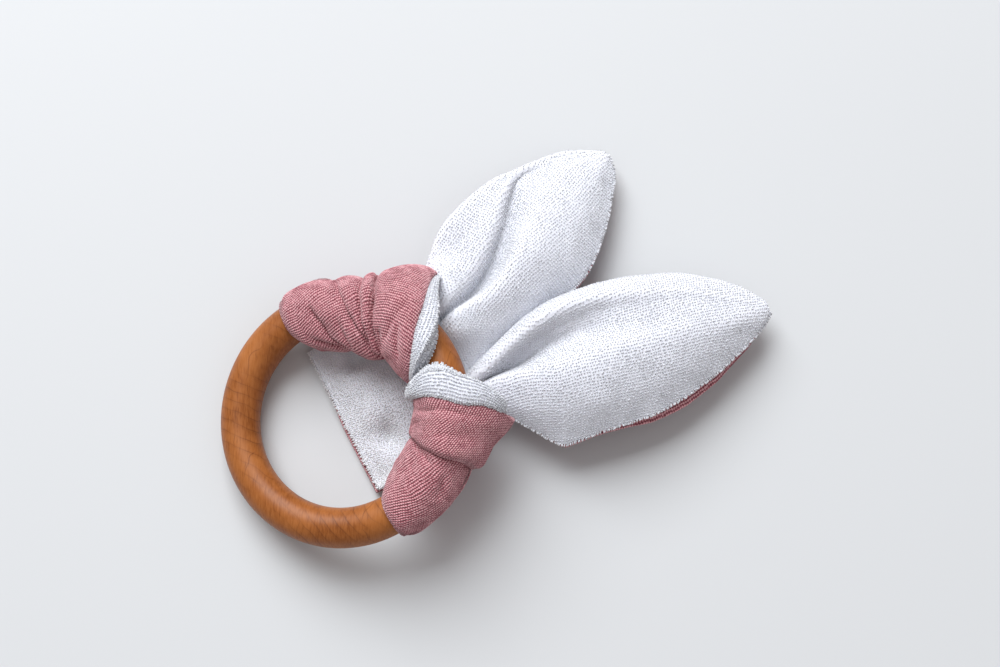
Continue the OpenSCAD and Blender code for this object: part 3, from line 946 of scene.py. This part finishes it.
def cuff_piece(name, inner_edge, outer_edge, shape, lift, tuck, seed, nodes):
    """Rolled terry band between the muslin's edge and the gap, with its pile. lift is the height of the
    roll, and tuck draws its outer side in behind the muslin."""
    rows, cols = 26, 300
    s = np.linspace(0, 1, rows)
    rising = outer_edge(TOP)[0] > inner_edge(TOP)[0]
    mean = inner_edge(TOP)[0] * (1 - s) + outer_edge(TOP)[0] * s
    out, inward, top, bottom, droop = shape(mean)
    x, z, angle = section(out, inward, top, bottom, droop, cols)
    theta = inner_edge(angle) * (1 - s[:, None]) + outer_edge(angle) * s[:, None]
    x = np.where(x > 0, x / out[:, None] * shape(theta)[0], x)
    signed = np.where(angle > 180, angle - 360, angle)
    x = x - tuck * smooth((36 - signed) / 20) * smooth((signed + 80) / 30)
    n2 = tube_normals(x, z)
    width = np.abs(outer_edge(angle) - inner_edge(angle)) * DEGREE * (ring_radius + x)
    roll = np.clip(1 - np.abs(2 * s[:, None] - 1) ** 3.2, 0, 1) ** 0.6
    h = lift * roll * np.clip(width / 5, 0.25, 1) - 0.2
    x, z = x + n2[..., 0] * h, z + n2[..., 1] * h
    # the side at the gap turns down to the wood
    down = smooth((s[:, None] - TURN_DOWN) / (1 - TURN_DOWN)) ** 1.5
    x, z = towards_wood(x, z, bore + 0.1, down)
    # and curls back beneath the roll where it stands away from the wood
    away = 1 - smooth((np.where(angle > 180, 0, angle) - 40) / 35)
    beneath = smooth((angle - 190) / 40) * smooth((358 - angle) / 30)
    back = 6.0 * away * smooth((s[:, None] - TURN_DOWN) / 0.2) + 9.0 * beneath * s[:, None]
    theta = theta + (-back if rising else back)
    outer = ring_point(theta, x, z)
    shares = np.array([0.96, 0.5, 0.04])
    inner = inside_of_tube(x[-1], z[-1], angle[-1], inner_edge, outer_edge, shares, bore + 0.05)
    base = ring_tube(name, np.concatenate([outer, inner], 0), not rising)
    finish_piece(base, terry_ground, nodes)
    # loops on the side that shows
    shown = ring_to_world(outer)
    n3 = normals(shown, wrap_across=True)
    centre = ring_to_world(ring_point(theta, 0 * x, 0 * z))
    n3 = n3 * np.sign(np.sum(n3 * (shown - centre), 2).mean())
    # pile covers the part of the way round that starts low on the outer side and goes over the top
    first, count = int(cols * 0.82), int(cols * 0.80)
    rolled = np.roll(shown, cols - first, 1)[:, :count]
    rolled_n = np.roll(n3, cols - first, 1)[:, :count]
    i, j = loop_places(rolled, 0.48, 0.68, seed, 0.07)
    step = np.gradient(rolled, axis=0)
    sets = [(pick(rolled + rolled_n * 0.05, i, j), pick(rolled_n, i, j), pick(step, i, j))]
    for row, beside, tilt in ((1, 4, 0.8), (19, 15, 0.5), (22, 18, 0.1), (24, 20, 0.0)):
        sets.append(fringe(rolled[row], rolled[beside], rolled_n[row], 0.6, tilt, seed + row))
    loops = joined_pile(name + "_pile", sets, (0.5, 0.7, 1.0, 1.25, 1.25), seed, 0.4)
    finish_piece(loops, terry)
    return base, loops


upper_gap = edge_curve([0, 15, 40, 52, 63, 74, 85, 106, 136, 180],
                       [55, 53.5, 47.4, 42.4, 37.5, 33, 29.6, 26.4, 23.4, 19.5])
lower_gap = edge_curve([0, 15, 34, 44, 54, 62, 72, 80, 93, 110, 130, 180],
                       [-2.6, 1.0, 4, 7.6, 11.5, 14.2, 17.6, 21.2, 23.6, 23.2, 19.2, 15])

lower_cuff_shape = reaches([-4, 0, 4, 10, 16, 24], [15.5, 17.2, 18.2, 17.5, 16.4, 15],
                           [9.2, 9.5, 9.8, 10.6, 10.8, 10.4], [10.2, 10.3, 10.4, 10.4, 10.2, 9.8],
                           [4.6, 4.6, 4.6, 4.6, 4.6, 4.6])

upper_cuff, upper_cuff_loops = cuff_piece("upper_cuff_terry", upper_near, upper_gap, upper_shape,
                                          lift=0.9, tuck=0.0, seed=31, nodes=["upper_cuff"])
lower_cuff, lower_cuff_loops = cuff_piece("lower_cuff_terry", lower_near, lower_gap, lower_cuff_shape,
                                          lift=1.0, tuck=2.6, seed=32, nodes=["lower_cuff"])


# ---------------------------------------------------------------- ears

# Lines that an ear's cloth runs through, from the neck inside the ring to the tip.
# Each point is (along the ear, across it, height), from the fold line.
UPPER_LINES = [
    [(-28, 9.0, 7.5), (-20, 11.2, 8.2), (-10, 14.4, 8.4), (-2, 18.0, 8.2), (10, 21.4, 8.0),
     (20, 20.6, 7.4), (30, 17.6, 6.4), (41, 12.0, 4.8), (49, 6.0, 3.2), (53.9, 0.4, 2.4)],
    [(-28, 9.2, 9), (-20, 11.7, 9.4), (-10, 15.2, 9.8), (-2, 18.8, 9.8), (10, 22.2, 9.6), (20, 21.4, 8.8),
     (30, 18.5, 7.8), (34, 16.3, 7.0), (41, 12.9, 5.8), (49.2, 6.8, 4.0), (54.1, 0.3, 2.9)],
    [(-27.5, 8.6, 10), (-18, 10.8, 10.6), (-8, 13.6, 10.6), (4, 15.6, 10.6), (16, 17.2, 9.8),
     (26, 17.0, 9.0), (32.5, 16.4, 7.8), (41, 12.0, 6.2), (49, 5.6, 3.8), (54.2, 0.1, 3)],
    [(-27, 8, 10.5), (-15, 9, 11), (-7, 9.2, 11.6), (2.2, 8.4, 12.2), (9.3, 9.2, 12), (15.7, 10.7, 11.4),
     (22.3, 13.2, 10.4), (27, 14.8, 9.6), (31.5, 15.8, 8.4), (35, 14.6, 7.0), (41.5, 10.8, 6.3),
     (49.5, 4.8, 4.2), (54.3, 0, 3.2)],
    [(-26.5, 7.6, 8.8), (-15, 8.0, 9.2), (-6, 7.2, 9.0), (3, 6.0, 8.8), (12, 7.2, 8.5), (20, 9.9, 8.2),
     (25, 12.2, 7.8), (29, 13.6, 7.2), (33, 14.5, 6.6), (36.5, 13.0, 6.6), (42, 9.2, 6.5),
     (49.6, 3.5, 4.5), (54.3, -0.1, 3.2)],
    [(-26, 7, 8.6), (-15, 6.8, 9), (-6, 5.4, 8.8), (4, 4.0, 8.6), (13, 4.8, 8.2), (21, 7.8, 8.0),
     (27, 10.4, 7.9), (31, 11.9, 7.6), (35, 11.8, 7.4), (42, 7.6, 7.2), (50, 2.4, 4.8),
     (54.3, -0.2, 3.2)],
    [(-25.5, 6, 10.5), (-16, 6, 12), (-7.3, 4.6, 13), (-1.9, 2.6, 14.2), (3.5, 0.6, 14.8),
     (13.4, 0.8, 14.6), (23.9, 3.2, 13), (32.6, 4.8, 11), (42.7, 4.2, 8.2), (50.5, 0.9, 5.2),
     (54.3, -0.3, 3.3)],
    [(-25.5, 5, 9.8), (-20, 2.5, 11), (-12.9, 0.6, 12), (-1.9, -5.0, 13), (10.7, -7.6, 13),
     (27.2, -6.6, 11.6), (41.4, -3.2, 8.4), (50, -1.8, 5.6), (54.3, -0.5, 3.2)],
    [(-25.5, 4, 8.6), (-21, -1, 9), (-18.2, -5.6, 9), (-8, -8.2, 8.4), (0, -11.4, 8), (12, -14.6, 7.2),
     (24, -15.6, 6.4), (34, -13.2, 5.4), (43, -9.4, 4.4), (50.4, -5.2, 3.4), (53.9, -1.2, 2.8)],
]
LOWER_LINES = [
    [(-28, 7.6, 6.6), (-20, 8, 7), (-12, 8.2, 7.6), (2, 14.2, 6.6), (14, 17.2, 5.6), (30, 17.8, 4.6),
     (48, 14.5, 3.2), (62, 8.2, 2.2), (69.6, 1.2, 1.8)],
    [(-28, 8, 8), (-20, 8.5, 8.8), (-12.5, 8.9, 10), (-6, 11.8, 10.4), (2.6, 15.9, 10.6),
     (11, 18.5, 10.4), (21, 19.3, 9.8), (30, 19.3, 9), (42, 17.6, 7.6), (54.5, 13.3, 5.6),
     (64.3, 7.3, 3.6), (70.0, 1.2, 2.6)],
    [(-28, 7, 10), (-20, 7.2, 11.4), (-10.5, 7.2, 13.2), (-1.5, 11.0, 14.8), (8.2, 14.6, 15.2),
     (18.8, 16.2, 14.8), (30, 15.4, 13.6), (43.5, 12.6, 11.2), (55.2, 8.3, 8.2), (64.6, 3.4, 5.2),
     (70.1, 0.8, 3.2)],
    [(-28, 6, 8.6), (-20, 6, 9.2), (-9, 6.0, 9.8), (1.8, 9.2, 10.9), (11.2, 11.7, 11.9),
     (21.6, 12.3, 12.6), (32, 11.1, 12.7), (45, 8.6, 11), (57, 5.2, 8), (65.6, 1.9, 5.1),
     (70.2, 0.5, 3.3)],
    [(-28, 5.3, 8), (-20, 5, 8.6), (-9, 5, 9), (-4, 5.6, 9.0), (2, 6.8, 8.8), (8.8, 8.4, 9.6),
     (17.4, 9.0, 11.2), (28, 7.7, 12.6), (45, 5, 11.5), (58, 2.5, 8.2), (66, 0.6, 5.2), (70.2, 0.3, 3.3)],
    [(-28, 4, 10.2), (-20, 3.6, 11), (-9.3, 4.2, 12.2), (-2.5, 4, 13.8), (4.8, 2.6, 14.9),
     (15.7, 1.2, 15.4), (30, 0.5, 14.8), (46, -0.5, 12), (59, -1.2, 8.2), (66.4, -0.9, 5),
     (70.2, 0, 3.2)],
    [(-28, 2.5, 9.6), (-20, 2, 10.4), (-8, -0.4, 12), (2, -5.7, 13.6), (14.5, -8.8, 14), (31, -8.8, 12.4),
     (47, -6.8, 9.6), (60, -4.2, 6.2), (67, -2.4, 4.2), (70.2, -0.4, 3)],
    [(-28, 1.4, 8.4), (-20, 0.6, 8.8), (-7.2, -3.2, 10.4), (-4.5, -6.2, 9.8), (-0.3, -11.0, 9.2),
     (3.6, -15.6, 8.4), (5.4, -17.2, 8.1), (8.4, -17.5, 8), (16, -17.2, 7.8), (30.8, -17.3, 7),
     (44.3, -14.2, 5.6), (57, -9.2, 4.2), (66.3, -4.2, 3), (70.1, -0.8, 2.6)],
]


def tucked(joint, lines):
    """The lines with two more points at the start of each, where the neck turns up inside the ring."""
    place, d, n = fold_frame(joint)
    starts = np.array([line[0] for line in lines])
    fold = starts[:, 2] - starts[:, 2].mean()
    out = []
    for line, height in zip(lines, fold):
        world = fold_to_world(joint, np.array(line[0], float)) - ring_centre
        along_ring = world[0] * math.cos(lean) + world[2] * math.sin(lean)
        theta = math.degrees(math.atan2(world[1], along_ring))
        extra = []
        for x, z in ((-7.9, -2.2), (-8.6, -6.2)):
            p = ring_to_world(ring_point(theta, x - 0.3 * height, np.array(z)))
            flat = p[:2] - place
            extra.append((flat @ d, flat @ n, p[2]))
        out.append(extra + list(line))
    return out


MUSLIN_DROP = 0.95  # from the middle of the terry to the middle of the muslin
THREAD_DROP = 0.45
FOLD_REACH = 7.0  # length on both sides of the fold line, for a reach that nothing reads


def ear_pieces(name, lines, seed, lift, piping, close=None):
    """Terry and muslin of one ear, with the pile and the seam, from the neck to the tip. lift raises the
    ear above its lines, piping gives how far the muslin stands out at each share of the length, and close
    is a line near the cuff along which the cloth stands higher."""
    body, joint = name + "_ear", name + "_ear_lift"
    grid = respace(loft(tucked(joint, lines), 184, 130))
    if close:
        start, stop = (np.array(c) for c in close)
        way = stop - start
        flat = grid[..., :2] - start
        share = np.clip((flat @ way) / (way @ way), 0, 1)
        gap = np.linalg.norm(flat - share[..., None] * way, axis=-1)
        grid[..., 2] += 3.6 * np.exp(-(gap / 4.5) ** 2)
    grid[..., 2] += lift * smooth((grid[..., 0] + 4) / 24)
    # turned round across, so that the sheet's normals point up
    world = fold_to_world(joint, grid)[:, ::-1]
    # small unevenness of the soft cloth, none at the neck and the tip
    u = np.linspace(0, 1, len(world))[:, None]
    uneven = 0.22 * noise(world, 11.0, seed) * smooth((u - 0.3) / 0.2) * smooth((1 - u) / 0.1)
    world = world + normals(world) * uneven[..., None]
    n = normals(world)
    terry_sheet = shell(body + "_terry_cloth", world, 0.8, 0.25, edge=0.012, tip=0.008)
    loops = sheet_pile(body + "_pile", world, 0.58, (0.72, 0.77), 0.07, 0.55, (0.60, 0.95, 0.95),
                       (seed, seed + 1, seed), 0.3)
    # muslin under the terry, its low edge rolled out past it as piping, level with the table
    share = 1 - np.linspace(0, 1, world.shape[1])[None, :]
    reach = piping(u) * smooth((share - 0.88) / 0.12)
    outward = world[:, 0] - world[:, 7]
    outward[:, 2] = 0
    outward = unit(outward)
    under = world - n * MUSLIN_DROP + outward[:, None] * reach[..., None]
    under[..., 2] = np.maximum(under[..., 2] - 0.35 * reach, 0.6)
    muslin_sheet = shell(body + "_muslin_cloth", under, 0.35, 0.35, rib=RIB, edge=0.012, tip=0.008)
    # machine stitches between the cloths
    seam = stitches(body + "_stitches", world - n * THREAD_DROP, SEAM_INSET)
    finish_piece(terry_sheet, terry_ground, [name + "_ear_terry", name + "_neck_terry"], None)
    finish_piece(loops, terry, (), None)
    finish_piece(muslin_sheet, muslin, [name + "_ear_muslin", name + "_neck_muslin"], None)
    finish_piece(seam, thread, [name + "_ear_seam"], None)
    place, axis = joint_place(joint)
    reach = FOLD_REACH * np.array([-axis[1], axis[0], 0])
    for ob in (terry_sheet, loops, muslin_sheet, seam):
        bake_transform(ob)
    return terry_sheet, loops, muslin_sheet, seam


def tubes(name, centres, radius, sides=6):
    """Closed tubes of thread, one for each run of points."""
    verts, faces, count = [], [], 0
    for run in centres:
        run = np.asarray(run, float)
        tan = unit(np.gradient(run, axis=0))
        helper = np.array([0, 0, 1.0]) if abs(tan[0, 2]) < 0.9 else np.array([1.0, 0, 0])
        q = unit(np.cross(tan, helper))
        r = np.cross(q, tan)
        taper = np.sqrt(np.clip(1 - np.linspace(-1, 1, len(run)) ** 6, 0.1, 1))[:, None]
        ring_pts = [run + radius * taper * (math.cos(a) * q + math.sin(a) * r)
                    for a in np.linspace(0, 2 * math.pi, sides + 1)[:-1]]
        verts.append(np.stack(ring_pts, 1).reshape(-1, 3))
        faces.append(grid_faces(len(run), sides, close_cols=True, offset=count))
        last = count + (len(run) - 1) * sides
        for base, turn in ((count, 1), (last, -1)):
            for k in range(1, sides // 2):
                quad = [base + k - 1, base + k, base + sides - k - 1, base + sides - k]
                faces.append(np.array([quad[::turn]]))
        count += len(run) * sides
    return mesh_object(name, np.concatenate(verts), np.concatenate(faces))


SEAM_INSET = 2.5  # from the edge of the cloth
STITCH_PITCH = 2.5
STITCH_LENGTH = 2.0


def stitches(name, grid, inset):
    """Lock stitches along both edges of a sheet, inset from its edge."""
    runs = []
    for side in (1, -1):
        line = []
        for row in grid[:, ::side]:
            run = run_along(row)
            if run[-1] > 4 * inset:
                line.append(at_run(inset, run, row))
        line = np.array(line)
        run = run_along(line)
        for start in np.arange(0.5, run[-1] - 2.6, STITCH_PITCH):
            runs.append(at_run(np.linspace(start, start + STITCH_LENGTH, 5), run, line))
    return tubes(name, runs, 0.14)


upper_parts = ear_pieces("upper", UPPER_LINES, 41, 2.6,
                         lambda u: 0.9 + 0.6 * np.exp(-((u - 0.63) / 0.1) ** 2),
                         ((-1.3, 14.4), (-11.3, 2.9)))
lower_parts = ear_pieces("lower", LOWER_LINES, 42, 5.6,
                         lambda u: 1.3 + 2.0 * np.exp(-((u - 0.74) / 0.16) ** 2))


# ---------------------------------------------------------------- middle of the strip

BIGHT_TURN = math.radians(-62.2)  # direction of its free edge
BIGHT_START = np.array([-52.2, -0.9])
BIGHT_LENGTH = 42.5
BIGHT_END = 5.0  # how much longer it is away from the free edge, where it goes into the sleeve
BIGHT_WIDTH = 30.0
BIGHT_HEIGHT = 1.9


def bight_grid():
    """Sheet of the strip's middle. A runs along its free edge and B away from it."""
    a = np.linspace(0, BIGHT_LENGTH + BIGHT_END, 166)
    b = np.linspace(0, BIGHT_WIDTH, 110)
    A, B = np.meshgrid(a, b, indexing="ij")
    end = BIGHT_LENGTH + 0.3 + (BIGHT_END - 0.3) * smooth(B / 14)
    A = A * end / (BIGHT_LENGTH + BIGHT_END)
    x = BIGHT_START[0] + A * math.cos(BIGHT_TURN) - B * math.sin(BIGHT_TURN)
    y = BIGHT_START[1] + A * math.sin(BIGHT_TURN) + B * math.cos(BIGHT_TURN)
    rise = 3.8 * smooth(B / 12) * (0.6 + 0.4 * np.sin(np.clip(A / BIGHT_LENGTH, 0, 1) * math.pi))
    dip = (3.4 * np.exp(-(((A - 8.8) / 4) ** 2 + ((B - 11) / 4.5) ** 2))
           + 3.4 * np.exp(-(((A - 31) / 4.5) ** 2 + ((B - 9.5) / 3.8) ** 2)))
    wave = 0.35 * noise(np.stack([A, B], -1), 13.0, 9)
    # the end at the sleeve turns up into it
    turn_up = (6.5 + 2.5 * B / BIGHT_WIDTH) * (0.3 + 0.7 * smooth(B / 9))
    turn_up = turn_up * smooth((A - BIGHT_LENGTH + 3.5) / (BIGHT_END + 3.5))
    z = BIGHT_HEIGHT + rise - dip + wave * smooth(B / 4) + turn_up
    return np.stack([x, y, np.maximum(z, BIGHT_HEIGHT * 0.6)], -1)


bight_mid = bight_grid()
bight_normal = normals(bight_mid)
bight_cloth = shell("bight_terry_cloth", bight_mid, 0.8, 0.3, edge=0.02, tip=0.01)
finish_piece(bight_cloth, terry_ground, ["bight_terry"])
bight_loops = sheet_pile("bight_pile", bight_mid, 0.62, (0.6, 0.66), 0.14, 0.66, (0.52, 0.9, 0.9),
                         (51, 53, 52), 0.7)
# the middle's loops get the lighter copy of the terry, painted light against the wraps' shade
finish_piece(bight_loops, terry_painted_light)
bight_under = bight_mid - bight_normal * 0.85
bight_under[..., 2] = np.maximum(bight_under[..., 2], 0.45)
# the muslin's free edge stands out past the terry as piping
edge_dir = np.array([math.sin(BIGHT_TURN), -math.cos(BIGHT_TURN), 0])
across = np.linspace(0, 1, bight_under.shape[1])[None, :, None]
along = np.linspace(0, 1, len(bight_under))[:, None, None]
piping = 0.05 + 0.85 * smooth((along - 0.3) / 0.25)
bight_under = bight_under + edge_dir * smooth((0.08 - across) / 0.08) * piping
bight_lower = shell("bight_muslin_cloth", bight_under, 0.35, 0.35, rib=RIB, edge=0.02, tip=0.01)
finish_piece(bight_lower, muslin, ["bight_muslin"])
bight_thread = stitches("bight_stitches", bight_mid - bight_normal * 0.4, SEAM_INSET)
finish_piece(bight_thread, thread, ["bight_seam"])

# closing hand stitches on the strip's long edge under the knot, each a short bowed run of thread
stitch_low, stitch_high = (np.array(c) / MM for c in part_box("closing_stitches"))
runs = []
for k in range(6):
    s = k / 5
    x = stitch_low[0] * (1 - s) + stitch_high[0] * s
    y = stitch_high[1] * (1 - s) + stitch_low[1] * s
    a = np.linspace(-1, 1, 7)[:, None]
    bow = (1 - a * a) * np.array([[0.25, 0.12, 0]])
    runs.append(np.array([[x, y, 1.3]]) + a * np.array([[0.25, 0.2, 0.95]]) + bow)
closing = tubes("closing_hand_stitches", runs, 0.22)
finish_piece(closing, thread, ["closing_stitches"])


# ---------------------------------------------------------------- floor and light

def make_floor():
    """White table that curves up far from the toy."""
    rows = 40
    xs = np.linspace(-3000, 3000, rows)
    X, Y = np.meshgrid(xs, xs, indexing="ij")
    r = np.hypot(X, Y)
    Z = np.where(r > 1500, ((r - 1500) / 1500) ** 2 * 400, 0)
    grid = np.stack([X, Y, Z - 0.02], -1)
    faces = grid_faces(rows, rows)
    ob = mesh_object("floor", grid, faces)
    mat, nt, bsdf = new_material("floor")
    coords = object_coords(nt)
    tone = cloudy(nt, coords, Scale=2.0, Detail=1.0)
    colour = ramp(nt, tone, [(0.3, (0.612, 0.634, 0.652)), (0.7, (0.626, 0.648, 0.666))])
    nt.links.new(colour, bsdf.inputs["Base Color"])
    constants(bsdf, {"Roughness": 0.55, "Specular IOR Level": 0.25})
    ob.data.materials.append(mat)


make_floor()


def area_light(name, place, size, power, colour):
    """Rectangular light that faces the origin."""
    data = bpy.data.lights.new(name, "AREA")
    data.shape = "RECTANGLE"
    data.size, data.size_y = size
    data.energy = power
    data.color = colour
    ob = bpy.data.objects.new(name, data)
    bpy.context.scene.collection.objects.link(ob)
    ob.location = place
    ob.rotation_euler = (-Vector(place)).to_track_quat("-Z", "Y").to_euler()


area_light("window", (-0.46, 1.20, 1.33), (1.4, 1.4), 49.0, (0.97, 0.985, 1.0))
area_light("fill", (0.9, -0.7, 1.2), (1.6, 1.6), 1.5, (1.0, 0.97, 0.96))

world = bpy.data.worlds.new("world")
bpy.context.scene.world = world
world.use_nodes = True
background = world.node_tree.nodes["Background"]
background.inputs[0].default_value = (1.0, 0.935, 0.925, 1)
background.inputs[1].default_value = 0.39

scene = bpy.context.scene
scene.view_settings.view_transform = "Standard"
scene.view_settings.look = "None"
